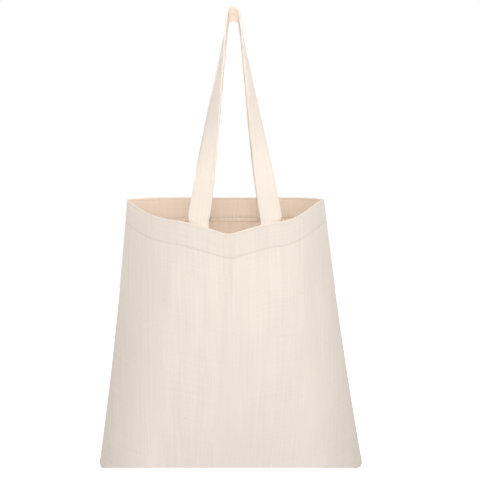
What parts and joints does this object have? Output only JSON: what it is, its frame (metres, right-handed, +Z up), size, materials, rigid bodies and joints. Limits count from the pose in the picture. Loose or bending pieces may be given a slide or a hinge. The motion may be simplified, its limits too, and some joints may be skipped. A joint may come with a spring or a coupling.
{
  "type": "canvas tote bag",
  "caption": "Flat unlined cotton canvas tote bag hanging open from its long handles, with a wide turned-in hem round the mouth.",
  "frame": {"origin": "on the axis of the peg that the handles hang from, midway between the two handles' loops", "axes": "+Z up, from the bottom seam to the peg; +Y along the peg, from the front panel to the back panel; +X to the right seen from the front, along the mouth"},
  "size_m": [0.381, 0.1745, 0.6564],
  "materials": {
    "canvas": "unbleached plain-weave cotton canvas, matte, with a faint upright slub",
    "handle_canvas": "the same canvas, folded and stitched as a strap, matte",
    "thread": "undyed cotton sewing thread"
  },
  "bodies": {
    "bag": {"front_panel": "canvas", "back_panel": "canvas", "front_hem": "canvas", "back_hem": "canvas", "left_side_seam": "canvas", "right_side_seam": "canvas", "bottom_seam": "canvas", "front_handle_left_end": "handle_canvas", "front_handle_right_end": "handle_canvas", "back_handle_left_end": "handle_canvas", "back_handle_right_end": "handle_canvas", "front_hem_stitching": "thread", "front_rim_stitching": "thread", "back_hem_stitching": "thread", "back_rim_stitching": "thread", "left_side_stitching": "thread", "right_side_stitching": "thread", "bottom_stitching": "thread"},
    "front_handle": {"front_handle": "handle_canvas", "front_handle_stitching": "thread"},
    "back_handle": {"back_handle": "handle_canvas", "back_handle_stitching": "thread"}
  },
  "joints": [
    {"name": "front_handle_swing", "type": "hinge", "parent": "bag", "child": "front_handle", "pos_m": [0, -0.08508, -0.2882], "axis": [1, 0, 0], "range_deg": [0, 150]},
    {"name": "back_handle_swing", "type": "hinge", "parent": "bag", "child": "back_handle", "pos_m": [0, 0.075, -0.24412], "axis": [-1, 0, 0], "range_deg": [0, 150]}
  ]
}
